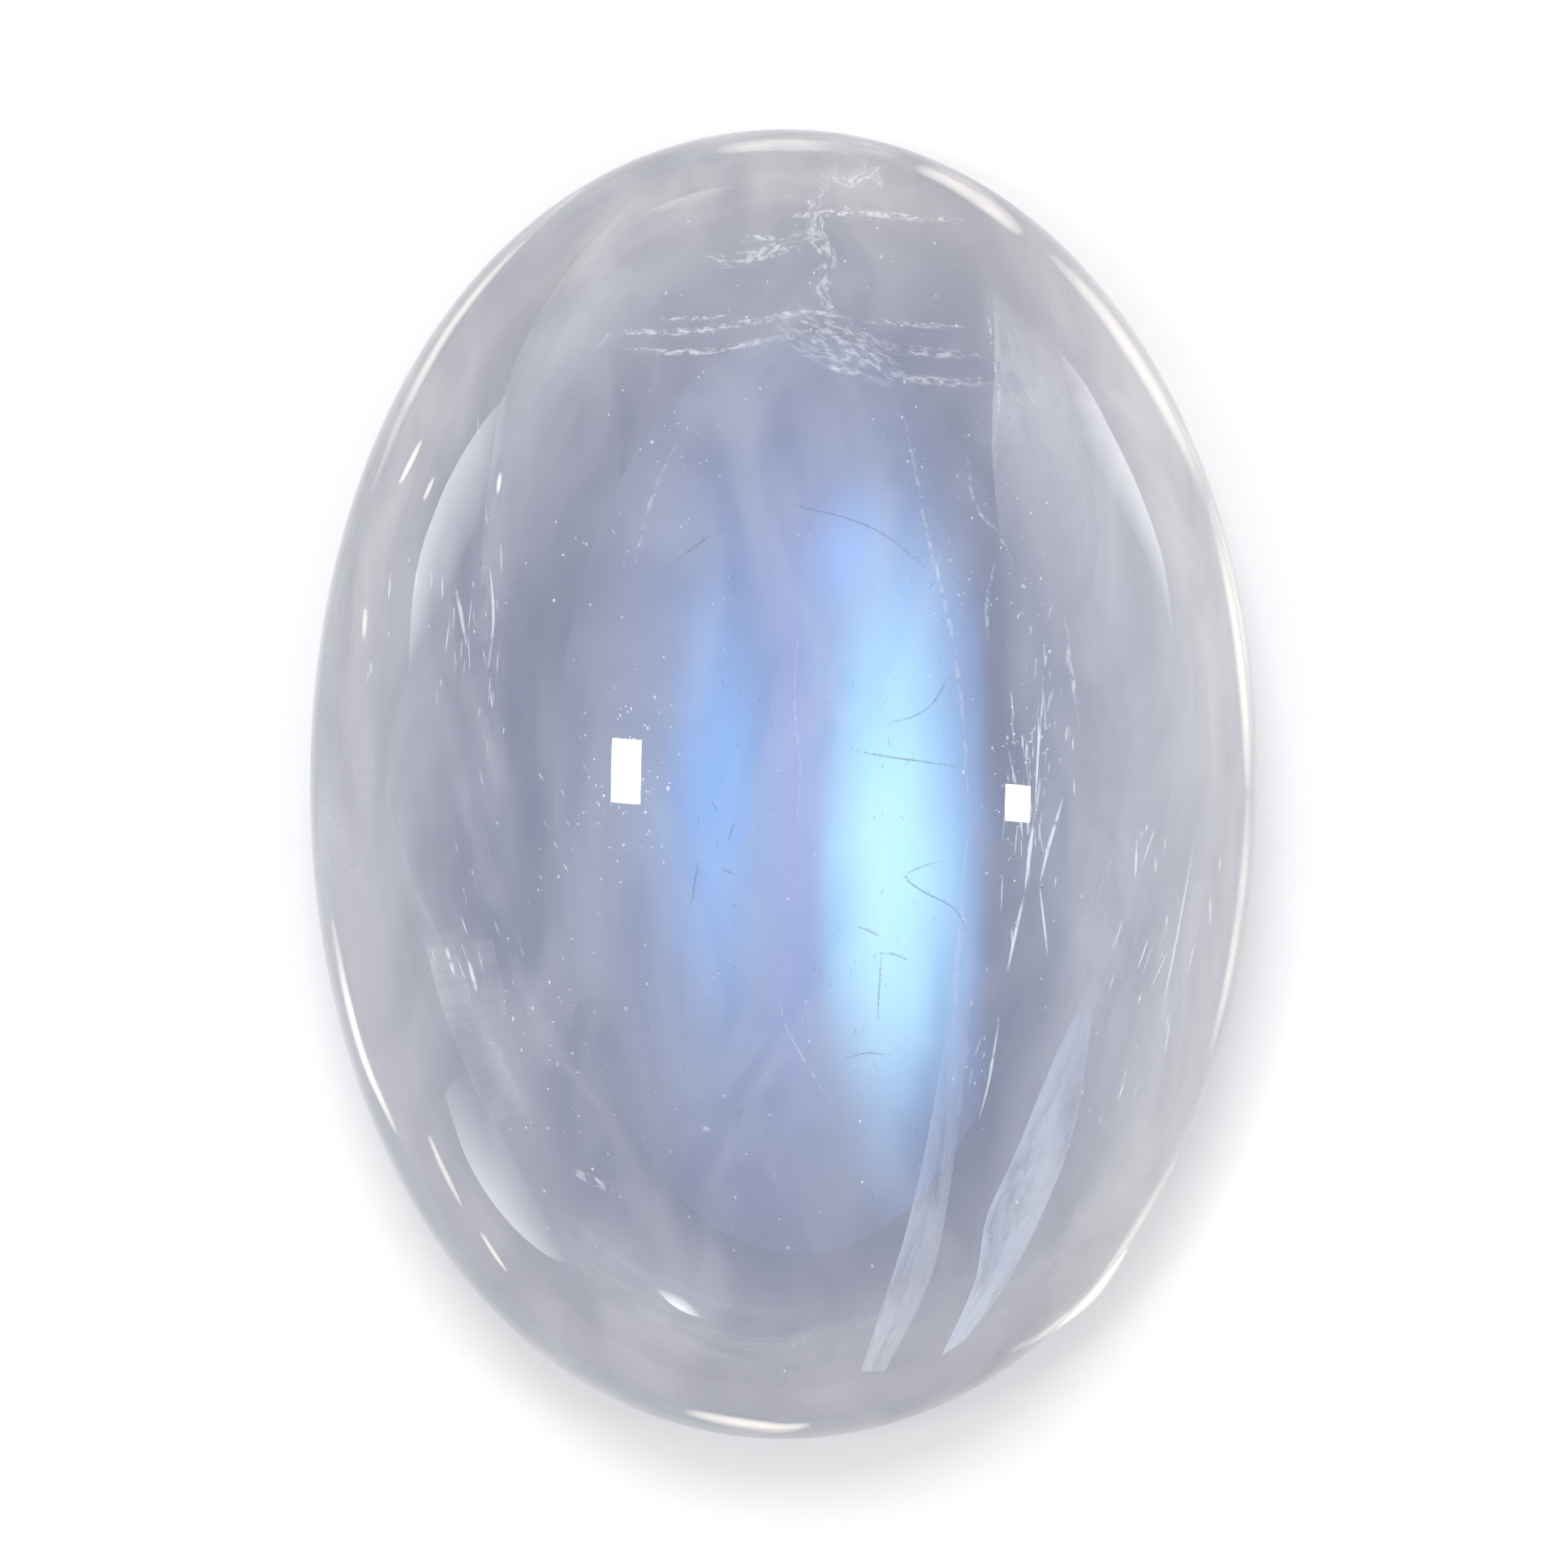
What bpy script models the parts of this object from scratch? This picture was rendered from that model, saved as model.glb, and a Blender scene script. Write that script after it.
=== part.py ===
"""A polished oval moonstone cabochon that rests on the flat spot of its softly rounded back.

Units are metres and +Z is up. The origin is on the resting surface, under the middle of the stone.
+Y runs along the length of the oval and +X across it.
"""

from math import cos, pi, sin

import bmesh
import bpy

# Driving dimensions
LENGTH = 0.0250
WIDTH = 0.0181
HEIGHT = 0.0076
GIRDLE_HEIGHT = 0.0022
SHOULDER_FULLNESS = 0.012  # how far the oval stands outside a true ellipse between its axes, as a share
REST_SHARE = 0.55  # the flat spot's size against the whole oval

# Fineness of the faceted solid
POINTS_AROUND = 84
BACK_ROWS = 8
DOME_ROWS = 18

# Milky blue-grey feldspar with a glassy polish
STONE_COLOUR = (0.52, 0.56, 0.68, 1.0)
STONE_ROUGHNESS = 0.05
STONE_METALLIC = 0.0
FELDSPAR_IOR = 1.52
STONE_TRANSMISSION = 0.6


def remove_all_objects():
    for thing in list(bpy.data.objects):
        bpy.data.objects.remove(thing, do_unlink=True)


def oval_point(angle, share):
    """A point of the girdle's oval, drawn in towards the middle by a share of its size."""
    fullness = 1 + SHOULDER_FULLNESS * sin(2 * angle) ** 2
    x = WIDTH / 2 * cos(angle) * fullness * share
    y = LENGTH / 2 * sin(angle) * fullness * share
    return x, y


def stone_profile():
    """(share, height) of each level, from the flat spot out to the girdle and up towards the crown."""
    levels = []
    for row in range(BACK_ROWS + 1):
        turn = pi / 2 * row / BACK_ROWS
        share = REST_SHARE + (1 - REST_SHARE) * sin(turn)
        levels.append((share, GIRDLE_HEIGHT * (1 - cos(turn))))
    for row in range(1, DOME_ROWS):
        turn = pi / 2 * row / DOME_ROWS
        height = GIRDLE_HEIGHT + (HEIGHT - GIRDLE_HEIGHT) * sin(turn)
        levels.append((cos(turn), height))
    return levels


def add_ring(bm, share, height):
    ring = []
    for step in range(POINTS_AROUND):
        x, y = oval_point(2 * pi * step / POINTS_AROUND, share)
        ring.append(bm.verts.new((x, y, height)))
    return ring


def join_rings(bm, lower, upper):
    for step in range(POINTS_AROUND):
        after = (step + 1) % POINTS_AROUND
        bm.faces.new((lower[step], lower[after], upper[after], upper[step]))


def close_crown(bm, ring):
    crown = bm.verts.new((0, 0, HEIGHT))
    for step in range(POINTS_AROUND):
        bm.faces.new((ring[step], ring[(step + 1) % POINTS_AROUND], crown))


def stone_mesh():
    bm = bmesh.new()
    rings = [add_ring(bm, share, height) for share, height in stone_profile()]
    bm.faces.new(reversed(rings[0]))  # the flat spot that the stone rests on
    for lower, upper in zip(rings, rings[1:]):
        join_rings(bm, lower, upper)
    close_crown(bm, rings[-1])
    mesh = bpy.data.meshes.new("moonstone")
    bm.to_mesh(mesh)
    bm.free()
    mesh.shade_smooth()
    return mesh


def moonstone_material():
    material = bpy.data.materials.new("moonstone")
    material.use_nodes = True
    shader = material.node_tree.nodes["Principled BSDF"]
    shader.inputs["Base Color"].default_value = STONE_COLOUR
    shader.inputs["Roughness"].default_value = STONE_ROUGHNESS
    shader.inputs["Metallic"].default_value = STONE_METALLIC
    shader.inputs["IOR"].default_value = FELDSPAR_IOR
    shader.inputs["Transmission Weight"].default_value = STONE_TRANSMISSION
    return material


def make_moonstone():
    mesh = stone_mesh()
    mesh.materials.append(moonstone_material())
    stone = bpy.data.objects.new("moonstone", mesh)
    bpy.context.scene.collection.objects.link(stone)
    return stone


remove_all_objects()
make_moonstone()
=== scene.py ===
"""Looks for a polished moonstone cabochon: a clear feldspar body with a blue glow, feathers and needles.

Places inside the stone are given as the camera sees them, in millimetres from the middle of the picture
at the girdle's height, with a depth along the ray that the dome bends. Blender's own lengths are metres.
"""
import random
from math import atan2, cos, pi, radians, sin, sqrt

import bmesh
import bpy
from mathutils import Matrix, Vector

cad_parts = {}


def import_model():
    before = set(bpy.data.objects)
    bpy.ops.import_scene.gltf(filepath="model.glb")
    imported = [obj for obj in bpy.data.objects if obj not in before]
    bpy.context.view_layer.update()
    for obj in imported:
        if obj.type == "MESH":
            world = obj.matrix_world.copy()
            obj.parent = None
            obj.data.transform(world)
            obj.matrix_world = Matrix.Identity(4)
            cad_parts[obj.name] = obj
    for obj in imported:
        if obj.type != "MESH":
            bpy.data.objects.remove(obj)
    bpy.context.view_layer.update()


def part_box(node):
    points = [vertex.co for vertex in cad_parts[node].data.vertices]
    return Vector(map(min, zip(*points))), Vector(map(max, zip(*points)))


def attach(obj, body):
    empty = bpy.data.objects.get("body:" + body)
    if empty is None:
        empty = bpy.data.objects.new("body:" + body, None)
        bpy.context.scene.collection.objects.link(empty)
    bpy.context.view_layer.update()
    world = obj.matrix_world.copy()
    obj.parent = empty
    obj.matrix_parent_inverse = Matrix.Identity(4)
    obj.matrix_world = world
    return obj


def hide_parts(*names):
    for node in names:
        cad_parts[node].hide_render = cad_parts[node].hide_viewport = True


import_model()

MM = 0.001

# The stone's form, as the solid has it
BOX_LOW, BOX_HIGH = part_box("moonstone")
HALF_WIDTH = (BOX_HIGH[0] - BOX_LOW[0]) / 2
HALF_LENGTH = (BOX_HIGH[1] - BOX_LOW[1]) / 2
HEIGHT = BOX_HIGH[2] - BOX_LOW[2]
GIRDLE_HEIGHT = 2.2 * MM
DOME_RISE = HEIGHT - GIRDLE_HEIGHT
SHOULDER_FULLNESS = 0.012
REST_SHARE = 0.55
POINTS_AROUND = 256
BACK_ROWS = 24
DOME_ROWS = 72

# Feldspar
FELDSPAR_IOR = 1.52
BODY_COLOUR = (0.34, 0.37, 0.55, 1)
BODY_DENSITY = 143.0
BACK_ROUGHNESS = 0.4

# The camera looks straight down through a long lens
LENS_MM = 150.0
SENSOR_MM = 36.0
PICTURE_WIDTH = 29.95 * MM
CAMERA_HEIGHT = GIRDLE_HEIGHT + PICTURE_WIDTH * LENS_MM / SENSOR_MM
EYE = Vector((0, 0, CAMERA_HEIGHT))


# Geometry of the stone

def oval_share(x, y):
    """How far out a point lies on the oval: 0 in the middle, 1 on the girdle."""
    across, along = x / HALF_WIDTH, y / HALF_LENGTH
    angle = atan2(along, across)
    return sqrt(across ** 2 + along ** 2) / (1 + SHOULDER_FULLNESS * sin(2 * angle) ** 2)


def dome_height(x, y):
    share = min(oval_share(x, y), 0.9999)
    return GIRDLE_HEIGHT + DOME_RISE * sqrt(1 - share ** 2)


def dome_normal(x, y):
    step = 0.002 * MM
    slope_x = (dome_height(x + step, y) - dome_height(x - step, y)) / (2 * step)
    slope_y = (dome_height(x, y + step) - dome_height(x, y - step)) / (2 * step)
    return Vector((-slope_x, -slope_y, 1)).normalized()


def back_share(height):
    """How far out the rounded back reaches at a height under the girdle."""
    rise = min(max(1 - height / GIRDLE_HEIGHT, 0), 1)
    return REST_SHARE + (1 - REST_SHARE) * sqrt(1 - rise ** 2)


def is_inside(point):
    if point.z <= 0:
        return False
    if point.z < GIRDLE_HEIGHT:
        return oval_share(point.x, point.y) < back_share(point.z)
    return oval_share(point.x, point.y) < 1 and point.z < dome_height(point.x, point.y)


def way_through(point, towards):
    """How far a ray goes from the dome's surface before it leaves the stone."""
    step = 0.1 * MM
    way = step
    while is_inside(point + towards * way):
        way += step
    return way


def seen_on_dome(x_mm, y_mm):
    """The dome's point that the camera sees at a place in the picture."""
    aim = Vector((x_mm * MM, y_mm * MM, GIRDLE_HEIGHT))
    point = aim.copy()
    for _ in range(12):
        height = dome_height(point.x, point.y)
        point = EYE + (aim - EYE) * ((CAMERA_HEIGHT - height) / (CAMERA_HEIGHT - GIRDLE_HEIGHT))
    return point


def seen_inside(x_mm, y_mm, depth_mm):
    """The point inside the stone seen at a place in the picture, this deep along the bent ray."""
    point = seen_on_dome(x_mm, y_mm)
    ray = (point - EYE).normalized()
    normal = dome_normal(point.x, point.y)
    into = -ray.dot(normal)
    share = 1 / FELDSPAR_IOR
    bent = ray * share + normal * (share * into - sqrt(1 - share ** 2 * (1 - into ** 2)))
    return point + bent * min(depth_mm * MM, 0.8 * way_through(point, bent))


def mirrored_from(x_mm, y_mm):
    """The dome's point seen at a place in the picture, and the direction that it mirrors to the camera."""
    point = seen_on_dome(x_mm, y_mm)
    ray = (point - EYE).normalized()
    normal = dome_normal(point.x, point.y)
    return point, ray - normal * 2 * ray.dot(normal)


# Mesh helpers

def link(thing):
    bpy.context.scene.collection.objects.link(thing)
    return thing


def piece_from(bm, name, material):
    """A piece of the stone: a smooth mesh that rides on the stone's body and wears its slot's finish."""
    mesh = bpy.data.meshes.new(name)
    bm.to_mesh(mesh)
    bm.free()
    mesh.shade_smooth()
    mesh.materials.append(material)
    piece = link(bpy.data.objects.new(name, mesh))
    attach(piece, "root")
    return piece


def add_ring(bm, share, height):
    ring = []
    for step in range(POINTS_AROUND):
        angle = 2 * pi * step / POINTS_AROUND
        out = share * (1 + SHOULDER_FULLNESS * sin(2 * angle) ** 2)
        ring.append(bm.verts.new((HALF_WIDTH * cos(angle) * out, HALF_LENGTH * sin(angle) * out, height)))
    return ring


def join_rings(bm, lower, upper):
    for step in range(POINTS_AROUND):
        after = (step + 1) % POINTS_AROUND
        bm.faces.new((lower[step], lower[after], upper[after], upper[step]))


def close_ring(bm, ring, middle):
    tip = bm.verts.new(middle)
    for step in range(POINTS_AROUND):
        bm.faces.new((ring[step], ring[(step + 1) % POINTS_AROUND], tip))


def stone_profile():
    levels = []
    for row in range(BACK_ROWS + 1):
        turn = pi / 2 * row / BACK_ROWS
        levels.append((REST_SHARE + (1 - REST_SHARE) * sin(turn), GIRDLE_HEIGHT * (1 - cos(turn))))
    for row in range(1, DOME_ROWS):
        turn = pi / 2 * row / DOME_ROWS
        levels.append((cos(turn), GIRDLE_HEIGHT + DOME_RISE * sin(turn)))
    return levels


def smooth_path(points, step=0.12):
    """Points every step mm or so along a Catmull-Rom curve through the given ones."""
    knots = [Vector(point) for point in points]
    knots = [2 * knots[0] - knots[1], *knots, 2 * knots[-1] - knots[-2]]
    path = []
    for a, b, c, d in zip(knots, knots[1:], knots[2:], knots[3:]):
        count = max(2, round((c - b).length / step))
        for index in range(count):
            t = index / count
            path.append(0.5 * (2 * b + (c - a) * t + (2 * a - 5 * b + 4 * c - d) * t ** 2
                               + (3 * b - a - 3 * c + d) * t ** 3))
    path.append(knots[-2])
    return path


def oval_path(share, start, end, step=4):
    """Places in mm along the oval, from one angle to another, in degrees counted from +X towards +Y."""
    places = []
    for index in range(round((end - start) / step) + 1):
        angle = radians(start + index * step)
        out = share / MM * (1 + SHOULDER_FULLNESS * sin(2 * angle) ** 2)
        places.append((HALF_WIDTH * cos(angle) * out, HALF_LENGTH * sin(angle) * out))
    return places


class Sheets:
    """Thin sheets inside the stone that share one mesh, each with its own number.

    strength fades to nothing where a sheet's edge is soft. fibre is the length along and across the sheet
    in mm, and its number. blueness is 0 for a white sheet and 1 for a blue one.
    """

    ACROSS = (-1, -0.5, 0, 0.5, 1)

    def __init__(self):
        self.bm = bmesh.new()
        self.strength = self.bm.verts.layers.float.new("strength")
        self.fibre = self.bm.verts.layers.float_vector.new("fibre")
        self.blueness = self.bm.verts.layers.float.new("blueness")
        self.count = 0

    def point(self, place, depth, strength, along, across, blueness=0.0):
        vert = self.bm.verts.new(seen_inside(place.x, place.y, depth))
        vert[self.strength] = strength
        vert[self.fibre] = (along, across, 7.3 * self.count)
        vert[self.blueness] = blueness
        return vert

    def join(self, rows):
        for lower, upper in zip(rows, rows[1:]):
            for a, b, c, d in zip(lower, lower[1:], upper[1:], upper):
                self.bm.faces.new((a, b, c, d))

    def strip(self, points, half_width, depth, strength=1.0, step=0.12):
        """A sheet along a path, soft at its sides and ends."""
        path = smooth_path(points, step)
        self.count += 1
        along = 0.0
        rows = []
        for index, place in enumerate(path):
            before, after = path[max(index - 1, 0)], path[min(index + 1, len(path) - 1)]
            side = (after - before).orthogonal().normalized()
            along += (place - before).length
            fade = max(sin(pi * index / (len(path) - 1)), 0) ** 0.5
            width = half_width * (0.3 + 0.7 * fade)
            rows.append([
                self.point(place + side * width * a, depth, strength * fade * (1 - a * a), along, width * a)
                for a in self.ACROSS
            ])
        self.join(rows)

    def blade(self, left, right, depth, start, end, fade, blueness, rows=60, columns=8):
        """A sheet between two edges, crisp on its left. Its strength runs from start to end along it, and it
        loses the share fade of it on the way to the right."""
        self.count += 1
        left, right = smooth_path(left), smooth_path(right)
        grid = []
        for row in range(rows + 1):
            share = row / rows
            a = left[round(share * (len(left) - 1))]
            b = right[round(share * (len(right) - 1))]
            here = (start + (end - start) * share) * min(1, 8 * share)
            line = []
            for column in range(columns + 1):
                across = column / columns
                # The crisp left edge is a quarter stronger: a painted bright edge.
                strength = here * (1 - fade * across ** 1.5) * (1.25 if column == 0 else 1)
                line.append(self.point(a.lerp(b, across), depth, strength, 6 * share, across, blueness))
            grid.append(line)
        self.join(grid)


# Shading helpers

def put(tree, kind, inputs=None, **settings):
    """Adds a node, sets it, and joins or sets its inputs."""
    node = tree.nodes.new("ShaderNode" + kind)
    for name, value in settings.items():
        setattr(node, name, value)
    for key, value in (inputs or {}).items():
        if isinstance(value, bpy.types.NodeSocket):
            tree.links.new(value, node.inputs[key])
        else:
            node.inputs[key].default_value = value
    return node


def maths(tree, operation, first, second=0.0):
    return put(tree, "Math", {0: first, 1: second}, operation=operation).outputs[0]


def ramp(tree, value, low, high, to_low=0.0, to_high=1.0, smooth=True):
    """Maps a value from one range to another, held at its ends."""
    spans = {"Value": value, "From Min": low, "From Max": high, "To Min": to_low, "To Max": to_high}
    kind = "SMOOTHSTEP" if smooth else "LINEAR"
    return put(tree, "MapRange", spans, interpolation_type=kind).outputs["Result"]


def new_material(name):
    material = bpy.data.materials.new(name)
    material.use_nodes = True
    tree = material.node_tree
    return material, tree, tree.nodes["Principled BSDF"]


def object_place(tree, scale=(1, 1, 1), shift=(0, 0, 0)):
    """The place on the object in millimetres, moved and then scaled."""
    where = put(tree, "TexCoord").outputs["Object"]
    turned = put(tree, "Mapping", {
        "Vector": where,
        "Location": tuple(-s * k for s, k in zip(shift, scale)),
        "Scale": tuple(k / MM for k in scale),
    })
    return turned.outputs["Vector"]


def noise(tree, place, scale, detail=4.0, roughness=0.55, distortion=0.0):
    settings = {"Vector": place, "Scale": scale, "Detail": detail, "Roughness": roughness,
                "Distortion": distortion}
    return put(tree, "TexNoise", settings).outputs["Fac"]


def haze_shader(shader, colour, glow=0.0):
    shader.inputs["Base Color"].default_value = (*colour, 1)
    shader.inputs["Roughness"].default_value = 1.0
    shader.inputs["Specular IOR Level"].default_value = 0.0
    # glow is painted light: an emission in the sheet's own colour that brightens it beyond what the lamps
    # give it.
    if glow:
        shader.inputs["Emission Color"].default_value = (*colour, 1)
        shader.inputs["Emission Strength"].default_value = glow


# The clear body

CLEAREST = 0.86
RIM_MILK = 0.09
RIGHT_MILK = 0.13
LEFT_MILK = 0.02
CLOUD_MILK = 0.05


def feldspar():
    """Glassy polish on the dome, a fine-ground back, a body that greys with depth, and milk that gathers
    towards the rim and down the right side."""
    material, tree, shader = new_material("feldspar")
    place = object_place(tree)
    split = put(tree, "SeparateXYZ", {"Vector": place})
    girdle = GIRDLE_HEIGHT / MM
    ground = ramp(tree, split.outputs["Z"], 0.6 * girdle, girdle, BACK_ROUGHNESS, 0.0)
    tree.links.new(ground, shader.inputs["Roughness"])
    shader.inputs["IOR"].default_value = FELDSPAR_IOR

    inner = (MM / HALF_WIDTH, MM / HALF_LENGTH, 0)
    flat = put(tree, "VectorMath", {0: place, 1: inner}, operation="MULTIPLY").outputs[0]
    out = put(tree, "VectorMath", {0: flat}, operation="LENGTH").outputs["Value"]
    rim = ramp(tree, out, 0.62, 1.0)
    drift = noise(tree, object_place(tree, (0.8, 0.3, 0.8)), 0.6, 3.0, 0.55, 0.8)
    cloud = ramp(tree, drift, 0.3, 0.7, -CLOUD_MILK, CLOUD_MILK)
    right = ramp(tree, split.outputs["X"], 3.4, 6.6, 0.0, RIGHT_MILK)
    left = ramp(tree, split.outputs["X"], -8.0, -4.5, LEFT_MILK, 0.0)
    milk = maths(tree, "ADD", maths(tree, "MULTIPLY", rim, RIM_MILK), maths(tree, "ADD", right, left))
    milk = maths(tree, "ADD", milk, cloud)
    clear = maths(tree, "SUBTRACT", CLEAREST, milk)
    tree.links.new(clear, shader.inputs["Transmission Weight"])
    tint = put(tree, "Mix", {0: rim, 6: (0.95, 0.965, 1.0, 1), 7: (1.0, 0.975, 0.945, 1)}, data_type="RGBA")
    tree.links.new(tint.outputs[2], shader.inputs["Base Color"])
    body = put(tree, "VolumeAbsorption", {"Color": BODY_COLOUR, "Density": BODY_DENSITY})
    tree.links.new(body.outputs["Volume"], tree.nodes["Material Output"].inputs["Volume"])
    return material


def make_shell():
    bm = bmesh.new()
    rings = [add_ring(bm, share, height) for share, height in stone_profile()]
    for lower, upper in zip(rings, rings[1:]):
        join_rings(bm, lower, upper)
    close_ring(bm, rings[-1], (0, 0, HEIGHT))
    close_ring(bm, rings[0][::-1], (0, 0, 0))
    shell = piece_from(bm, "stone_shell", feldspar())
    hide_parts("moonstone")


# The blue glow, a painted sheen

GLOW_DEPTHS = (0.7, 1.5)
GLOW_HALF_WIDTH = 4.7
GLOW_HALF_LENGTH = 8.8
GLOW_MIDDLE = (0.3, -0.2)
GLOW_STRENGTH = 1.1
PERIWINKLE = (0.24, 0.32, 0.62)
LEFT_BLUE = (0.20, 0.49, 1.02)
TOP_BLUE = (0.22, 0.44, 1.05)
RIGHT_BLUE = (0.26, 0.57, 1.08)
HEART_CYAN = (0.47, 0.95, 1.10)
STRIPE_VIOLET = (0.26, 0.37, 0.90)


def lobe(tree, place, middle, half_width, half_length, power=1.0, edge=1.5):
    """A soft oval patch, 1 in its middle. A higher edge keeps it full further out and ends it crisply."""
    off = put(tree, "VectorMath", {0: place, 1: (-middle[0], -middle[1], 0)}, operation="ADD").outputs[0]
    flat = put(tree, "VectorMath", {0: off, 1: (1 / half_width, 1 / half_length, 0)}, operation="MULTIPLY")
    away = put(tree, "VectorMath", {0: flat.outputs[0], 1: flat.outputs[0]}, operation="DOT_PRODUCT")
    steep = maths(tree, "POWER", away.outputs["Value"], edge)
    bell = maths(tree, "EXPONENT", maths(tree, "MULTIPLY", steep, -1.0))
    return maths(tree, "MULTIPLY", bell, power)


def tinted(tree, colour, patch, tint):
    return put(tree, "Mix", {0: patch, 6: colour, 7: (*tint, 1)}, data_type="RGBA").outputs[2]


def painted_blue_sheen():
    """Painted sheen: an emission, periwinkle at the edge, with two sky-blue lobes and a cyan-white heart in
    the right one, that stands for the blue light the lamps raise in the stone.
    """
    material, tree, shader = new_material("painted_blue_sheen")
    warp = put(tree, "TexNoise", {"Vector": object_place(tree, (1, 0.5, 1)), "Scale": 0.8, "Detail": 2.0})
    wander = put(tree, "VectorMath", {0: warp.outputs["Color"], 1: (0.5, 0.5, 0.5)}, operation="SUBTRACT")
    wander = put(tree, "VectorMath", {0: wander.outputs[0], 1: (0.7, 1.6, 0)}, operation="MULTIPLY")
    place = put(tree, "VectorMath", {0: object_place(tree), 1: wander.outputs[0]}, operation="ADD").outputs[0]
    wide = lobe(tree, place, (0.25, -0.2), 3.3, 7.2, 0.66, 1.3)
    left = lobe(tree, place, (-1.15, -0.2), 1.35, 5.0, 0.85, 1.2)
    right = lobe(tree, place, (1.95, -0.9), 1.75, 6.3, 0.95, 2.0)
    heart = lobe(tree, place, (1.95, -1.5), 0.9, 3.8, 1.0, 1.1)
    top = lobe(tree, place, (1.2, 4.0), 1.2, 1.8, 0.8, 1.1)
    stripe = lobe(tree, place, (0.15, -0.3), 0.45, 5.4, 0.75, 1.2)
    blue = put(tree, "RGB")
    blue.outputs[0].default_value = (*PERIWINKLE, 1)
    blue = tinted(tree, blue.outputs[0], left, LEFT_BLUE)
    blue = tinted(tree, blue, top, TOP_BLUE)
    blue = tinted(tree, blue, right, RIGHT_BLUE)
    blue = tinted(tree, blue, heart, HEART_CYAN)
    blue = tinted(tree, blue, stripe, STRIPE_VIOLET)
    shown = maths(tree, "MAXIMUM", maths(tree, "MAXIMUM", wide, left), maths(tree, "MAXIMUM", right, top))
    split = put(tree, "SeparateXYZ", {"Vector": place})
    edge = ramp(tree, split.outputs["X"], 3.3, 4.0, 1.0, 0.0)
    shown = maths(tree, "MULTIPLY", shown, edge)
    clear = maths(tree, "POWER", maths(tree, "SUBTRACT", 1.0, shown), 1.0 / len(GLOW_DEPTHS))
    tree.links.new(maths(tree, "SUBTRACT", 1.0, clear), shader.inputs["Alpha"])
    shader.inputs["Base Color"].default_value = (0, 0, 0, 1)
    shader.inputs["Roughness"].default_value = 1.0
    shader.inputs["Specular IOR Level"].default_value = 0.0
    tree.links.new(blue, shader.inputs["Emission Color"])
    # The emission is painted light: the stone's blue sheen shown as a glow of its own.
    shader.inputs["Emission Strength"].default_value = GLOW_STRENGTH
    return material


def make_glow():
    bm = bmesh.new()
    rings, around = 24, 64
    for depth in GLOW_DEPTHS:
        lines = []
        for ring in range(1, rings + 1):
            line = []
            for step in range(around):
                angle = 2 * pi * step / around
                x = GLOW_MIDDLE[0] + GLOW_HALF_WIDTH * cos(angle) * ring / rings
                y = GLOW_MIDDLE[1] + GLOW_HALF_LENGTH * sin(angle) * ring / rings
                line.append(bm.verts.new(seen_inside(x, y, depth)))
            lines.append(line)
        middle = bm.verts.new(seen_inside(*GLOW_MIDDLE, depth))
        for step in range(around):
            after = (step + 1) % around
            bm.faces.new((middle, lines[0][step], lines[0][after]))
            for inner, outer in zip(lines, lines[1:]):
                bm.faces.new((inner[step], outer[step], outer[after], inner[after]))
    return piece_from(bm, "blue_glow", painted_blue_sheen())


# Strips of veil, feather, needle and crack

def sheet_shader(name, colour, along, across, low, high, most, glow=0.0, detail=4.0, blue=None):
    """A haze whose alpha is a sheet's own strength, broken up by fibres that run along the sheet.

    along and across are the fibres' fineness. Noise from low to high gives an alpha from 0 to most.
    """
    material, tree, shader = new_material(name)
    haze_shader(shader, colour, glow)
    fibre = put(tree, "Attribute", attribute_name="fibre").outputs["Vector"]
    drawn = put(tree, "Mapping", {"Vector": fibre, "Scale": (along, across, 1)}).outputs["Vector"]
    broken = ramp(tree, noise(tree, drawn, 1.0, detail, 0.65, 0.3), low, high, 0.0, most)
    strength = put(tree, "Attribute", attribute_name="strength").outputs["Fac"]
    tree.links.new(maths(tree, "MULTIPLY", broken, strength), shader.inputs["Alpha"])
    if blue:
        blueness = put(tree, "Attribute", attribute_name="blueness").outputs["Fac"]
        start = put(tree, "RGB")
        start.outputs[0].default_value = (*colour, 1)
        mixed = tinted(tree, start.outputs[0], blueness, blue)
        tree.links.new(mixed, shader.inputs["Base Color"])
        tree.links.new(mixed, shader.inputs["Emission Color"])
    return material


VEILS = [
    # (path, half width, depth, strength)
    ([(-2.72, 10.33), (-4.11, 8.62), (-4.96, 6.92), (-5.43, 5.37), (-5.63, 3.82), (-5.69, 1.96),
      (-5.57, 0.10), (-5.20, -1.76)], 0.55, 1.6, 0.9),
    ([(-6.28, 8.47), (-7.21, 6.61), (-7.83, 4.44), (-8.14, 2.11), (-8.14, -0.21)], 0.47, 0.5, 0.7),
    ([(-7.52, 0.10), (-7.21, -1.30), (-6.51, -3.31), (-5.66, -5.02), (-4.89, -6.42)], 0.31, 1.0, 1.0),
    ([(-6.28, 1.03), (-5.89, -1.14), (-5.27, -3.31), (-4.42, -5.18), (-3.18, -6.73)], 0.43, 1.8, 0.9),
    ([(4.42, 8.78), (5.50, 6.30), (6.12, 3.20), (6.28, 0.10), (5.97, -3.00), (5.04, -6.42)],
     0.93, 1.4, 0.8),
    ([(5.66, 9.09), (7.05, 6.30), (7.67, 3.82), (7.98, 1.03), (7.83, -2.07), (7.21, -4.87)],
     0.47, 0.6, 0.9),
    ([(-5.04, -7.97), (-3.18, -9.52), (-1.01, -10.45), (1.16, -10.45), (3.33, -9.52)], 0.93, 1.2, 0.8),
    ([(-4.11, 9.86), (-2.25, 10.95), (-0.08, 11.41), (2.09, 11.26), (3.95, 10.33)], 0.62, 0.9, 0.8),
]

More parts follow.
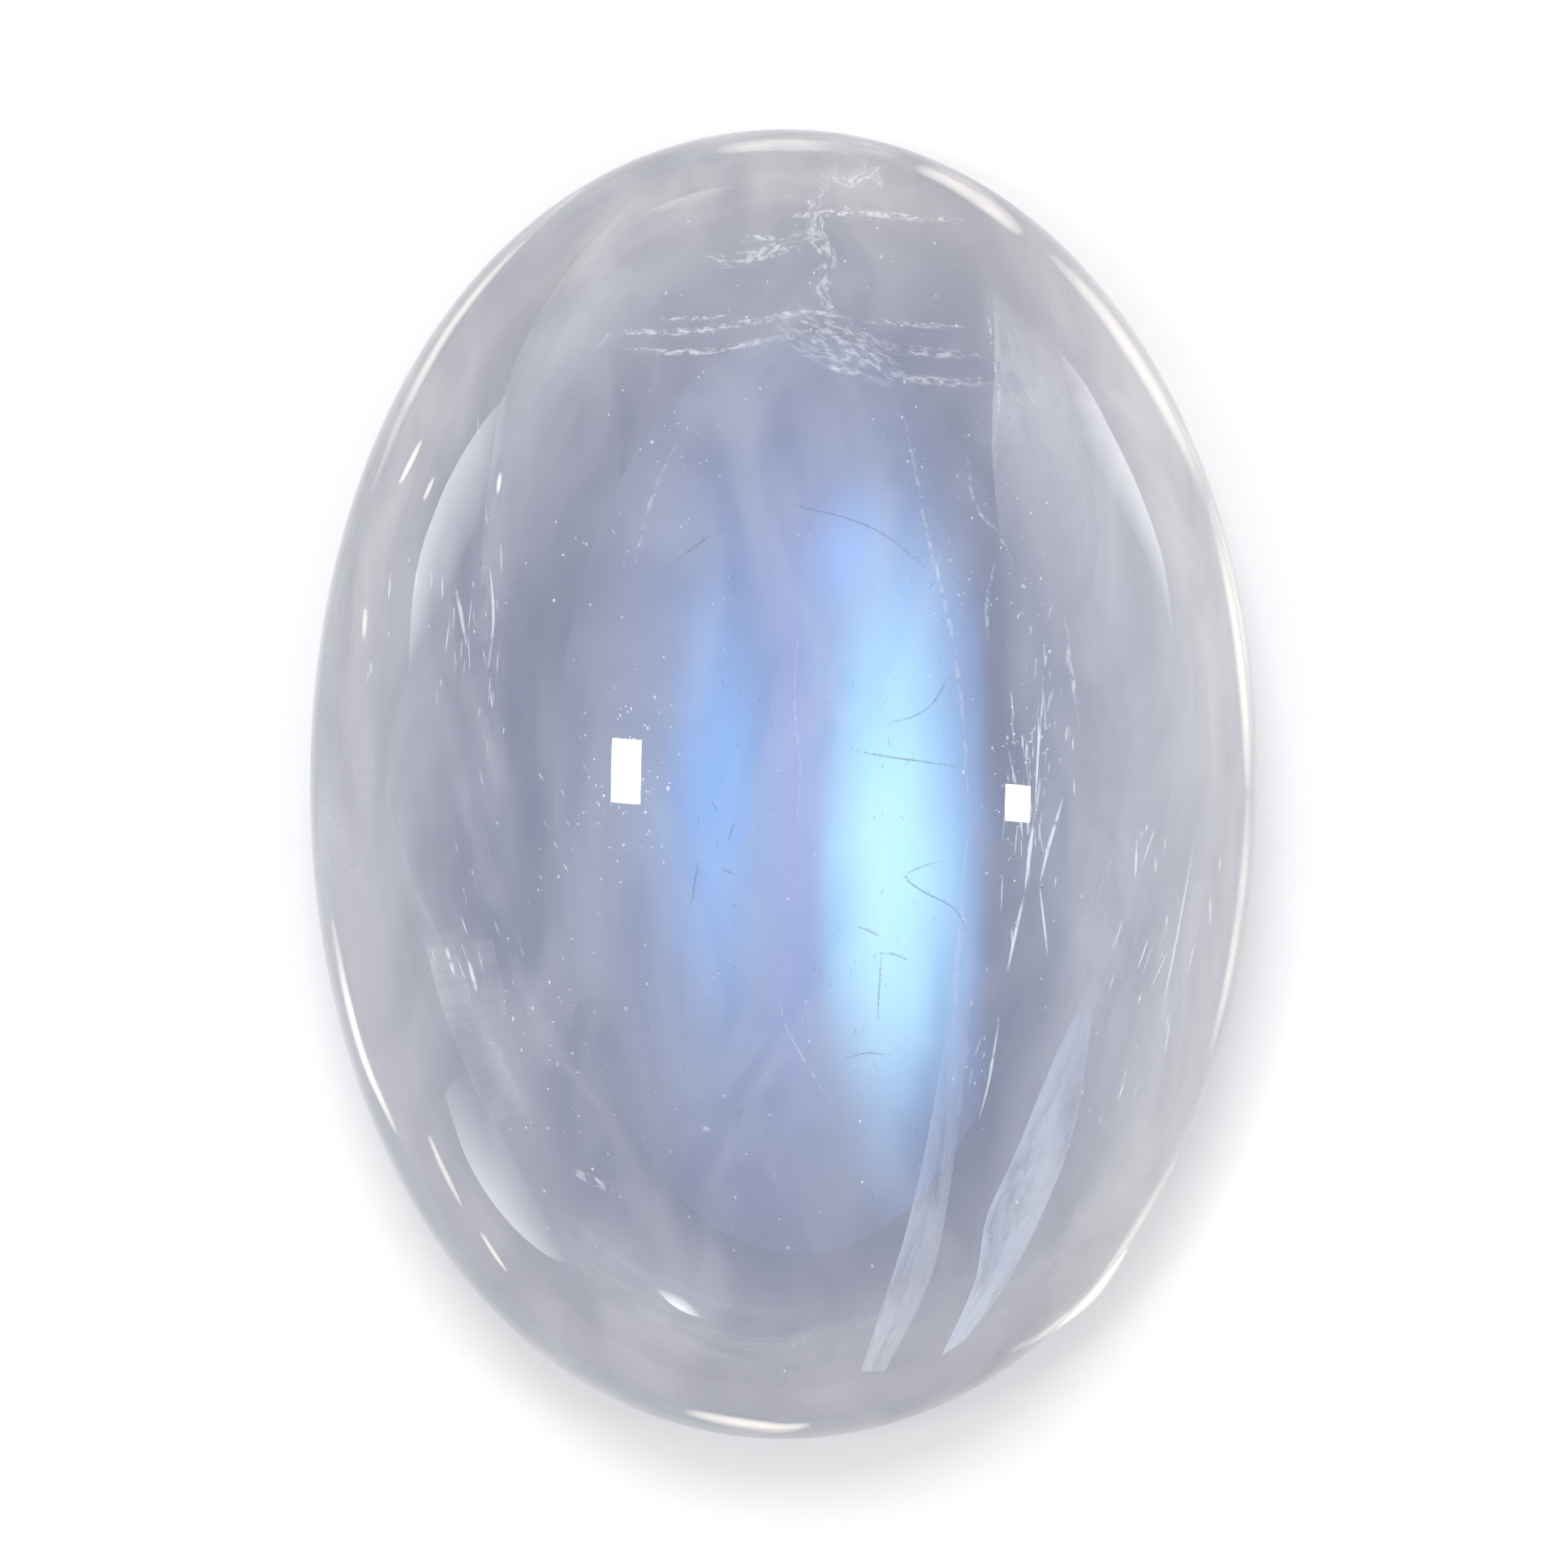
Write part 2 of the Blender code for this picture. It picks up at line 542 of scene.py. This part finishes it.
FEATHERS = [
    ([(-0.31, 10.82), (1.31, 10.92), (2.40, 10.82), (3.49, 10.76)], 0.09, 0.9, 1.0),
    ([(-1.60, 10.05), (-1.01, 9.99), (-0.39, 10.14), (0.31, 10.41), (0.85, 10.48)], 0.19, 1.1, 0.9),
    ([(-0.93, 10.33), (-0.55, 10.45), (-0.08, 10.39)], 0.09, 1.1, 0.9),
    ([(1.08, 11.96), (0.73, 11.41), (0.62, 10.64), (0.82, 10.02), (0.73, 9.40), (1.00, 8.78)],
     0.22, 1.0, 0.9),
    ([(-3.60, 8.28), (-3.41, 8.50), (-3.15, 8.62), (-1.79, 8.65), (-0.55, 8.84), (0.54, 9.01)],
     0.09, 1.0, 1.0),
    ([(-3.18, 8.34), (-2.25, 8.25), (-1.32, 8.28), (-0.39, 8.47), (0.38, 8.59)], 0.09, 1.0, 1.0),
    ([(-2.56, 8.90), (-1.63, 8.89), (-0.93, 8.96)], 0.06, 0.8, 0.9),
    ([(-0.31, 8.96), (0.54, 9.01), (1.16, 8.90)], 0.06, 0.8, 0.9),
    ([(-0.16, 8.86), (0.69, 8.55), (1.47, 8.28), (2.17, 7.62)], 0.62, 1.3, 0.7),
    ([(0.69, 8.00), (1.55, 7.82)], 0.08, 0.8, 1.0),
    ([(1.16, 8.47), (2.40, 8.28), (3.95, 8.16)], 0.12, 1.1, 0.7),
    ([(1.78, 7.93), (2.87, 7.69), (4.11, 7.66)], 0.12, 1.1, 0.7),
    ([(1.47, 8.86), (2.56, 8.78), (3.64, 8.70)], 0.08, 1.1, 0.7),
    ([(0.85, 11.65), (1.31, 11.49), (1.93, 11.80)], 0.16, 0.6, 0.8),
    ([(1.47, 12.03), (1.93, 11.34)], 0.12, 0.6, 0.8),
    ([(-4.11, -7.35), (-3.65, -7.58), (-3.18, -7.81)], 0.11, 0.9, 0.9),
    ([(-1.63, -6.49), (-1.32, -6.73)], 0.08, 0.9, 0.9),
]

CLEAVAGE = [
    ([(3.87, 9.40), (3.98, 8.31), (4.11, 7.38), (3.98, 6.30)], 0.04, 0.8, 0.9),
    ([(2.24, 7.23), (2.48, 6.14), (2.71, 4.90), (3.02, 3.66), (3.25, 2.58), (3.44, 1.03), (3.53, -0.68)],
     0.05, 0.7, 0.8),
    ([(3.53, -0.68), (3.44, -1.69), (3.33, -3.31), (3.18, -5.18)], 0.05, 0.7, 0.5),
    ([(3.49, 6.30), (3.64, 5.37), (4.11, 4.75), (4.42, 4.13)], 0.05, 0.8, 0.8),
    ([(4.03, 4.28), (3.87, 3.35), (3.95, 2.58)], 0.05, 0.8, 0.8),
    ([(5.35, 3.35), (5.47, 2.27), (5.66, 1.03)], 0.05, 0.8, 0.8),
    ([(0.31, 3.20), (0.20, 1.65), (0.31, 0.10), (0.15, -1.45)], 0.03, 0.6, 0.5),
    ([(-0.08, -3.97), (0.07, -4.71), (1.00, -6.26)], 0.03, 0.6, 0.6),
    ([(-2.02, 6.61), (-2.56, 5.37), (-2.87, 4.13)], 0.05, 0.8, 0.7),
]

NEEDLES = [
    ([(4.96, 1.80), (4.85, 0.56), (4.80, -0.52)], 0.03, 0.7, 1.0),
    ([(4.80, -0.52), (4.69, -1.30), (4.60, -2.07)], 0.04, 0.7, 1.0),
    ([(4.60, -2.07), (4.42, -2.85), (4.26, -3.62)], 0.04, 0.8, 1.0),
    ([(5.35, -0.21), (5.07, -1.14), (4.88, -1.92)], 0.04, 0.8, 1.0),
    ([(4.88, -1.92), (4.97, -2.69), (5.04, -3.31)], 0.03, 0.8, 1.0),
    ([(6.74, -0.99), (6.71, -1.84)], 0.03, 0.7, 0.9),
    ([(7.83, -1.14), (7.52, -2.85), (7.21, -4.40)], 0.03, 0.6, 0.8),
    ([(8.14, -2.07), (8.14, -2.77)], 0.03, 0.4, 0.8),
    ([(-5.63, 4.28), (-5.55, 3.20), (-5.66, 2.11)], 0.03, 0.8, 0.8),
    ([(-6.28, 3.82), (-6.05, 2.58)], 0.04, 0.8, 0.8),
    ([(-6.47, -3.08), (-6.28, -3.70)], 0.05, 0.8, 1.0),
    ([(-6.05, -3.31), (-5.85, -4.01)], 0.05, 0.8, 0.9),
    ([(4.11, -4.48), (3.92, -5.64), (3.72, -6.42)], 0.03, 0.7, 0.8),
]

# Darker grey sheets that make these streaks darker, near the rim and left of the glow.
DARK_STREAKS = [
    ([(-5.32, 7.60), (-4.50, 9.30), (-2.87, 11.30)], 0.17, 0.8, 0.8),
    ([(-7.49, 0.02), (-7.34, -1.76), (-7.06, -3.30), (-6.50, -4.90)], 0.14, 0.8, 0.8),
    ([(6.30, -6.70), (5.60, -8.00), (4.76, -9.16)], 0.24, 0.8, 0.7),
    ([(-3.90, -3.40), (-3.50, -4.30), (-3.30, -5.30)], 0.40, 1.0, 0.6),
    ([(-8.10, 5.20), (-8.40, 3.00), (-8.45, 0.50)], 0.16, 0.5, 0.6),
    ([(4.90, 7.60), (6.10, 6.20), (6.90, 4.30), (7.25, 2.20)], 0.16, 0.6, 0.5),
]

CRACKS = [
    [(3.18, 2.11), (2.99, 1.77), (2.79, 1.49), (2.40, 1.26), (2.01, 1.18)],
    [(1.31, 0.64), (1.93, 0.53), (2.56, 0.44), (3.33, 0.33)],
    [(3.10, -1.45), (2.71, -1.55), (2.32, -1.76), (2.63, -2.04), (3.25, -2.38), (3.49, -2.85)],
    [(1.31, -2.69), (1.59, -2.79), (1.86, -2.93)],
    [(1.75, -3.39), (1.75, -3.25), (2.09, -3.25), (2.40, -3.39)],
    [(1.16, -5.25), (1.59, -5.14), (2.01, -5.18)],
    [(-0.08, 5.37), (0.54, 5.24), (1.24, 5.06), (1.93, 4.75), (2.71, 4.13)],
    [(-1.17, 4.90), (-1.63, 4.59), (-2.25, 4.13)],
    [(1.86, -3.24), (1.78, -4.56)],
    [(-1.63, -1.45), (-1.79, -2.38)],
    [(-1.24, -1.61), (-0.86, -1.76)],
    [(-0.93, -0.68), (-1.09, -1.14)],
]

# Painted highlights: cream, glowing sheets just under the rim, where the rim shows bright refractions and
# reflections.
PAINTED_GLEAMS = [
    ([(-3.80, 11.41), (-5.04, 10.33), (-6.28, 8.86), (-7.21, 7.23), (-7.91, 5.52)], 0.09, 0.3, 0.6),
    ([(-1.32, 12.11), (-0.08, 12.22), (1.16, 12.19), (2.24, 12.00)], 0.16, 0.3, 0.6),
    ([(2.48, 11.80), (3.18, 11.54), (3.95, 11.03), (4.57, 10.48)], 0.19, 0.4, 0.9),
    ([(5.04, 10.17), (5.97, 9.17), (6.90, 7.85), (7.67, 6.45), (8.21, 5.06)], 0.16, 0.3, 0.7),
    ([(8.11, 5.52), (8.42, 4.28), (8.68, 2.89), (8.83, 1.34), (8.87, -0.21)], 0.14, 0.2, 0.9),
    ([(8.87, -0.21), (8.79, -1.76), (8.52, -3.62), (8.14, -5.18)], 0.11, 0.2, 0.7),
    ([(7.52, -7.11), (6.74, -8.43), (5.97, -9.67), (5.04, -10.45), (4.26, -10.87)], 0.11, 0.3, 0.7),
    ([(-1.94, -11.97), (-1.01, -12.18), (-0.08, -12.30), (0.54, -12.24)], 0.12, 0.2, 1.0),
    ([(-8.64, -2.54), (-8.38, -3.93), (-7.99, -5.33), (-7.37, -6.73)], 0.08, 0.2, 1.0),
    ([(-6.82, -6.65), (-6.51, -7.35), (-6.13, -8.12)], 0.06, 0.4, 0.9),
    ([(-5.82, -8.51), (-5.58, -8.90), (-5.27, -9.36)], 0.05, 0.4, 0.7),
    ([(-6.90, 6.61), (-7.21, 5.99), (-7.37, 5.68)], 0.06, 0.5, 1.0),
    ([(-6.67, 5.91), (-6.90, 5.37)], 0.05, 0.5, 0.7),
    ([(-5.41, 5.99), (-5.48, 5.49)], 0.05, 0.7, 0.9),
    ([(-7.99, 3.43), (-8.03, 2.73)], 0.06, 0.5, 0.6),
]


TICK_FIELDS = [
    # (count, middle, spread)
    (46, (1.6, -1.6), (0.9, 3.0)),
    (26, (-1.0, -0.6), (0.8, 3.2)),
    (16, (2.6, 3.0), (0.8, 1.6)),
]

# The first two blades are painted reflections on cleavage planes; the others are pale sheets with a crisp
# edge.
BLADES = [
    # (left edge, right edge, depth, strength at its start and end, fade to the right, blueness)
    ([(3.44, -1.69), (3.02, -5.17), (2.40, -8.28), (1.47, -11.22)],
     [(3.64, -3.00), (3.41, -5.95), (2.87, -9.21), (1.93, -11.22)], 0.9, 0.12, 0.62, 0.3, 0.6),
    ([(5.89, -3.63), (5.19, -5.18), (4.42, -7.04), (3.87, -8.28), (3.64, -9.52), (3.02, -10.91)],
     [(5.97, -3.78), (5.58, -6.42), (5.04, -7.97), (4.26, -9.52), (3.49, -10.60)], 1.0, 0.30, 0.80, 0.1, 1.0),
    ([(3.97, 9.57), (4.03, 8.31), (3.97, 6.47), (4.10, 4.90), (4.30, 3.20)],
     [(5.20, 8.50), (5.97, 6.90), (6.60, 5.00), (6.75, 3.20)], 0.9, 0.55, 0.0, 0.9, 0.0),
    ([(-2.70, 11.34), (-4.27, 9.63), (-5.27, 7.69), (-5.66, 5.68), (-5.80, 3.80)],
     [(-1.79, 9.86), (-3.18, 8.31), (-4.27, 6.30), (-5.04, 3.82)], 1.1, 0.25, 0.12, 0.8, 0.2),
    ([(-6.90, -2.85), (-6.59, -4.09), (-6.12, -5.33), (-5.58, -6.50)],
     [(-5.60, -2.70), (-5.35, -4.00), (-5.04, -5.30), (-4.70, -6.20)], 1.2, 0.35, 0.1, 0.6, 0.0),
]


NEEDLE_FIELDS = [
    # (count, middle, spread, greatest length, lean to +X as it runs to +Y)
    (44, (4.55, -0.3), (0.22, 1.0), 0.9, 0.02),
    (16, (4.95, 2.2), (0.25, 0.9), 0.7, 0.10),
    (14, (5.30, 1.0), (0.18, 1.2), 0.4, 0.10),
    (14, (7.00, -1.2), (0.55, 0.7), 0.5, 0.15),
    (18, (7.30, -4.0), (0.50, 1.4), 0.9, 0.30),
    (10, (6.40, -5.0), (0.40, 0.9), 0.6, 0.35),
    (12, (3.70, -5.3), (0.25, 0.8), 0.5, 0.30),
    (18, (-6.2, 3.3), (0.45, 1.0), 0.8, 0.02),
    (14, (-5.6, 2.6), (0.15, 1.6), 0.7, -0.04),
    (12, (-6.0, -2.9), (0.40, 1.0), 0.5, -0.30),
    (10, (-3.9, -0.7), (0.50, 0.5), 0.3, -0.50),
    (8, (-7.9, 3.2), (0.25, 1.4), 0.9, 0.08),
]


def scattered(chance, middle, spread):
    return Vector((chance.gauss(middle[0], spread[0]), chance.gauss(middle[1], spread[1])))


def make_strips(name, rows, material):
    sheets = Sheets()
    for path, half_width, depth, strength in rows:
        sheets.strip(path, half_width, depth, strength)
    return piece_from(sheets.bm, name, material)


CRACK_DEPTH = 0.55
CRACK_HALF_WIDTH = 0.022
TICK_HALF_WIDTH = 0.016
TICK_SHARE = 0.35


def make_cracks():
    """Dark hair cracks with short ticks across them, and loose ticks where the glow is brightest."""
    chance = random.Random(4)
    sheets = Sheets()
    for path in CRACKS:
        sheets.strip(path, CRACK_HALF_WIDTH, CRACK_DEPTH, 1.0)
        line = smooth_path(path, 0.05)
        for before, place in zip(line, line[1:]):
            if chance.random() < TICK_SHARE:
                side = (place - before).orthogonal().normalized() * chance.uniform(0.03, 0.10)
                ends = [place - side * chance.random(), place + side]
                sheets.strip(ends, TICK_HALF_WIDTH, CRACK_DEPTH, 0.8)
    for count, middle, spread in TICK_FIELDS:
        for _ in range(count):
            place = scattered(chance, middle, spread)
            lean = Vector((chance.gauss(0, 0.4), 1)) * chance.uniform(0.04, 0.16)
            ends = [place - lean, place + lean * chance.random()]
            sheets.strip(ends, chance.uniform(0.010, 0.02), CRACK_DEPTH, 0.8)
    material = sheet_shader("crack_shadow", (0.10, 0.16, 0.34), 2.0, 1.0, 0.2, 0.5, 0.7, detail=2.0)
    return piece_from(sheets.bm, "stress_cracks", material)


def make_blades():
    """Flat cleavage sheets with a crisp edge. The first two, in the lower right, are painted reflections:
    pale, partly blue, glowing sheets for the light that cleavage planes there mirror.
    """
    sheets = Sheets()
    for blade in BLADES:
        sheets.blade(*blade)
    colour, blue = (0.84, 0.84, 0.85), (0.68, 0.80, 1.0)
    material = sheet_shader("blade_shine", colour, 0.9, 2.5, 0.2, 0.6, 1.0, 0.3, 4.0, blue)
    return piece_from(sheets.bm, "cleavage_blades_and_shine", material)


def make_needles():
    """The long needles, and fields of short ones that lie nearly along the stone."""
    chance = random.Random(8)
    sheets = Sheets()
    for path, half_width, depth, strength in NEEDLES:
        sheets.strip(path, half_width, depth, strength)
    for count, middle, spread, longest, lean in NEEDLE_FIELDS:
        for _ in range(count):
            place = scattered(chance, middle, spread)
            if oval_share(place.x * MM, place.y * MM) > 0.93:
                continue
            towards = Vector((lean + chance.gauss(0, 0.08), 1)).normalized()
            half = towards * longest * chance.uniform(0.2, 1) / 2
            width = chance.uniform(0.010, 0.024)
            depth = chance.uniform(0.3, 0.9)
            sheets.strip([place - half, place + half], width, depth, chance.uniform(0.4, 1))
    # The needles glow: painted brightness on their own white colour.
    material = sheet_shader("needle", (0.93, 0.95, 1.0), 2.5, 1.0, 0.25, 0.5, 0.95, 0.45, 2.0)
    return piece_from(sheets.bm, "needles", material)


# Painted shade: arcs of a grey line just inside the girdle's edge.
RIM_ARCS = [
    # (start and end in degrees from +X towards +Y, strength)
    (20, 200, 1.0),
    (150, 262, 0.5),
    (-78, 50, 0.9),
    (-110, -60, 0.5),
]
RIM_SHARE = 0.988
RIM_HALF_WIDTH = 0.05
RIM_DEPTH = 0.05


def make_rim_line():
    """Painted shade: a thin grey sheet just inside the girdle that stands for the dark line that the edge's
    refraction shows all round.
    """
    sheets = Sheets()
    for start, end, strength in RIM_ARCS:
        sheets.strip(oval_path(RIM_SHARE, start, end), RIM_HALF_WIDTH, RIM_DEPTH, strength, 0.4)
    material = sheet_shader("painted_rim_shade", (0.22, 0.21, 0.22), 0.2, 1.0, 0.1, 0.5, 0.6, detail=1.0)
    return piece_from(sheets.bm, "painted_rim_shade", material)


# Bright specks

SPECK_FIELDS = [
    # (count, middle, spread, depth from and to)
    (40, (0.9, 8.7), (1.6, 0.9), (0.6, 1.5)),
    (30, (0.8, 10.3), (0.9, 0.9), (0.6, 1.3)),
    (24, (-2.1, 6.9), (0.35, 0.7), (0.6, 1.2)),
    (60, (-2.9, -1.5), (0.8, 2.6), (0.5, 2.0)),
    (60, (4.4, 1.5), (0.6, 3.4), (0.5, 1.8)),
    (50, (3.0, 4.0), (0.5, 2.4), (0.5, 1.6)),
    (40, (-4.6, -4.6), (0.8, 1.6), (0.6, 1.6)),
    (30, (-3.3, 4.6), (0.8, 1.2), (0.6, 1.6)),
    (70, (0.0, -6.8), (3.4, 2.0), (0.6, 2.2)),
    (120, (0.0, 0.0), (4.6, 6.4), (0.5, 2.6)),
    # These two fields crowd round the two lamps' highlights: painted glints that stand for the sparkle round
    # each highlight.
    (90, (-3.0, 0.3), (0.50, 0.75), (0.1, 0.3)),
    (50, (4.5, -0.2), (0.30, 0.80), (0.1, 0.4)),
]


SPECK_SIZE = 0.012 * MM


def speck(bm, place, size, chance):
    """A tiny eight-sided crystal."""
    turn = chance.uniform(0, pi)
    stretch = chance.uniform(0.7, 2.0)
    ring = [
        bm.verts.new(place + Vector((cos(turn + k * pi / 2), sin(turn + k * pi / 2) * stretch, 0)) * size)
        for k in range(4)
    ]
    up = bm.verts.new(place + Vector((0, 0, size)))
    down = bm.verts.new(place - Vector((0, 0, size)))
    for k in range(4):
        bm.faces.new((ring[k], ring[(k + 1) % 4], up))
        bm.faces.new((ring[(k + 1) % 4], ring[k], down))


def make_specks():
    chance = random.Random(11)
    bm = bmesh.new()
    for count, middle, spread, depths in SPECK_FIELDS:
        for _ in range(count):
            spot = scattered(chance, middle, spread)
            if oval_share(spot.x * MM, spot.y * MM) > 0.9:
                continue
            place = seen_inside(spot.x, spot.y, chance.uniform(*depths))
            speck(bm, place, SPECK_SIZE * chance.uniform(0.6, 1.0) / chance.uniform(0.35, 1.0), chance)
    material, tree, shader = new_material("specks")
    # The specks glow: painted glints on tiny crystals.
    haze_shader(shader, (0.95, 0.96, 1.0), 0.35)
    tone = noise(tree, object_place(tree), 3.0)
    tree.links.new(ramp(tree, tone, 0.3, 0.7, 0.45, 1.0), shader.inputs["Alpha"])
    return piece_from(bm, "bright_specks", material)


# Studio

TABLE_HALF_SIZE = 0.7
TABLE_GAP = 0.03 * MM
LAMP_DISTANCE = 0.6
LAMP_RADIANCE = 25.0
LEFT_LAMP_SIZE = (0.052, 0.052)
RIGHT_LAMP_SIZE = (0.030, 0.052)
SOFTBOX_DISTANCE = 0.5
SOFTBOX_ROWS = 10
KEY_AZIMUTH = 100
KEY_ELEVATION = 60
KEY_DISTANCE = 0.6
KEY_SIZE = 0.25
KEY_RADIANCE = 6.5
SOFTBOXES = [
    # (name, radiance, outline)
    ("left_softbox", 7.0,
     [(142, 17, 18), (146, 14.5, 23.5), (152, 11.5, 25.2), (157, 9.8, 25), (163, 9, 21.5), (171, 13, 14)]),
    ("right_softbox", 6.5,
     [(12, 5, 6), (17, 2.6, 9), (24, 4, 14.5), (31, 5.8, 17), (36, 6, 14), (42, 8, 8.6)]),
    ("low_left_softbox", 6.5,
     [(206, 8.5, 23), (214, 5, 22), (222, 6.5, 20.8), (228, 9.8, 18), (231.5, 13.5, 14.5)]),
    ("top_softbox", 3.5, [(97, 1, 3), (101, 0, 5.3), (105, 0, 6), (109, 0, 4), (114, 0, 0.6)]),
    ("low_softbox", 14.0, [(247.3, 25, 25.6), (250, 23.3, 26.1), (253, 22.6, 25.6), (255.5, 22.8, 23.2)]),
]


def floor():
    mesh = bpy.data.meshes.new("floor")
    bm = bmesh.new()
    bmesh.ops.create_grid(bm, x_segments=1, y_segments=1, size=TABLE_HALF_SIZE)
    bm.to_mesh(mesh)
    bm.free()
    table = link(bpy.data.objects.new("floor", mesh))
    table.location.z = -TABLE_GAP
    material = bpy.data.materials.new("white_table")
    material.use_nodes = True
    tree = material.node_tree
    grain = noise(tree, object_place(tree), 2.0)
    paper = put(tree, "BsdfDiffuse", {"Color": put(tree, "Mix", {
        0: grain, 6: (0.89, 0.89, 0.89, 1), 7: (0.91, 0.91, 0.91, 1),
    }, data_type="RGBA").outputs[2]})
    tree.links.new(paper.outputs["BSDF"], tree.nodes["Material Output"].inputs["Surface"])
    mesh.materials.append(material)


def lamp(name, x_mm, y_mm, size):
    """A small light placed where the dome mirrors it to the camera at a place in the picture."""
    point, towards = mirrored_from(x_mm, y_mm)
    data = bpy.data.lights.new(name, "AREA")
    data.shape = "RECTANGLE"
    data.size, data.size_y = size
    data.energy = LAMP_RADIANCE * pi * size[0] * size[1]
    box = link(bpy.data.objects.new(name, data))
    box.location = point + towards * LAMP_DISTANCE
    box.rotation_euler = (-towards).to_track_quat("-Z", "Y").to_euler()
    box.visible_camera = False


def softbox(name, radiance, outline):
    """A raised, curved diffuser around the stone, brightest along its lower edge and towards its middle.

    The outline has (azimuth, lowest, highest elevation), in degrees. An azimuth counts from +X towards +Y.
    """
    bm = bmesh.new()
    lit = bm.verts.layers.float.new("lit")
    grid = []
    columns = smooth_path(outline, 1.0)
    for index, (azimuth, lowest, highest) in enumerate(columns):
        middle = sin(pi * index / (len(columns) - 1))
        line = []
        for row in range(SOFTBOX_ROWS + 1):
            turn, elevation = radians(azimuth), radians(lowest + (highest - lowest) * row / SOFTBOX_ROWS)
            flat = cos(elevation) * SOFTBOX_DISTANCE
            vert = bm.verts.new((cos(turn) * flat, sin(turn) * flat, sin(elevation) * SOFTBOX_DISTANCE))
            vert[lit] = radiance * (0.35 + 0.65 * max(middle, 0)) * (1 - 0.75 * row / SOFTBOX_ROWS)
            line.append(vert)
        grid.append(line)
    for left, right in zip(grid, grid[1:]):
        for row in range(SOFTBOX_ROWS):
            bm.faces.new((left[row], right[row], right[row + 1], left[row + 1]))
    mesh = bpy.data.meshes.new(name)
    bm.to_mesh(mesh)
    bm.free()
    box = link(bpy.data.objects.new(name, mesh))
    box.visible_camera = False
    material = bpy.data.materials.new(name)
    material.use_nodes = True
    tree = material.node_tree
    tree.nodes.clear()
    fade = put(tree, "Attribute", attribute_name="lit").outputs["Fac"]
    light = put(tree, "Emission", {"Strength": fade})
    tree.links.new(light.outputs["Emission"], put(tree, "OutputMaterial").inputs["Surface"])
    mesh.materials.append(material)


def key_light():
    """A broad overhead light that lays the stone's soft shadow on the table. The polish doesn't mirror it."""
    turn, rise = radians(KEY_AZIMUTH), radians(KEY_ELEVATION)
    towards = Vector((cos(turn) * cos(rise), sin(turn) * cos(rise), sin(rise)))
    data = bpy.data.lights.new("key_light", "AREA")
    data.shape = "SQUARE"
    data.size = KEY_SIZE
    data.energy = KEY_RADIANCE * pi * KEY_SIZE ** 2
    box = link(bpy.data.objects.new("key_light", data))
    box.location = towards * KEY_DISTANCE
    box.rotation_euler = (-towards).to_track_quat("-Z", "Y").to_euler()
    box.visible_camera = box.visible_glossy = False


def world():
    made = bpy.data.worlds.new("studio")
    bpy.context.scene.world = made
    made.use_nodes = True
    tree = made.node_tree
    where = put(tree, "TexCoord").outputs["Generated"]
    towards = put(tree, "VectorMath", {0: where, 1: (0, 0.8, 0.6)}, operation="DOT_PRODUCT")
    light = ramp(tree, towards.outputs["Value"], -1, 1, 0.86, 0.90, smooth=False)
    tree.links.new(light, tree.nodes["Background"].inputs["Strength"])
    tree.nodes["Background"].inputs["Color"].default_value = (1, 1, 1, 1)


def camera():
    data = bpy.data.cameras.new("camera")
    data.lens, data.sensor_width = LENS_MM, SENSOR_MM
    data.clip_start, data.clip_end = 0.01, 2.0
    eye = link(bpy.data.objects.new("camera", data))
    eye.location = EYE
    bpy.context.scene.camera = eye


make_shell()
make_glow()
# The veils, feathers and cleavage lines glow a little: painted brightness on their own pale colour.
make_strips("soft_veils", VEILS, sheet_shader(
    "veil", (0.82, 0.82, 0.86), 0.35, 1.6, 0.3, 0.7, 0.45, 0.15))
make_strips("dark_streaks", DARK_STREAKS, sheet_shader(
    "dark_streak_sheet", (0.20, 0.21, 0.27), 0.35, 1.2, 0.2, 0.6, 0.4))
make_strips("feathers", FEATHERS, sheet_shader(
    "feather", (0.92, 0.93, 0.96), 5.0, 12.0, 0.44, 0.62, 0.9, 0.3))
make_strips("cleavage_lines", CLEAVAGE, sheet_shader(
    "cleavage", (0.9, 0.92, 0.97), 5.0, 9.0, 0.42, 0.6, 0.8, 0.2))
# Painted rim highlights: cream sheets with a strong glow.
make_strips("painted_rim_gleams", PAINTED_GLEAMS, sheet_shader(
    "gleam", (1.0, 0.95, 0.88), 0.25, 1.0, 0.1, 0.55, 0.9, 0.9, 2.0))
make_rim_line()
make_needles()
make_cracks()
make_blades()
make_specks()

floor()
world()
camera()
lamp("left_lamp", -3.02, 0.25, LEFT_LAMP_SIZE)
lamp("right_lamp", 4.47, -0.37, RIGHT_LAMP_SIZE)
key_light()
for softbox_row in SOFTBOXES:
    softbox(*softbox_row)

scene = bpy.context.scene
scene.view_settings.view_transform = "Standard"
scene.cycles.use_light_tree = False
scene.cycles.transparent_max_bounces = 24
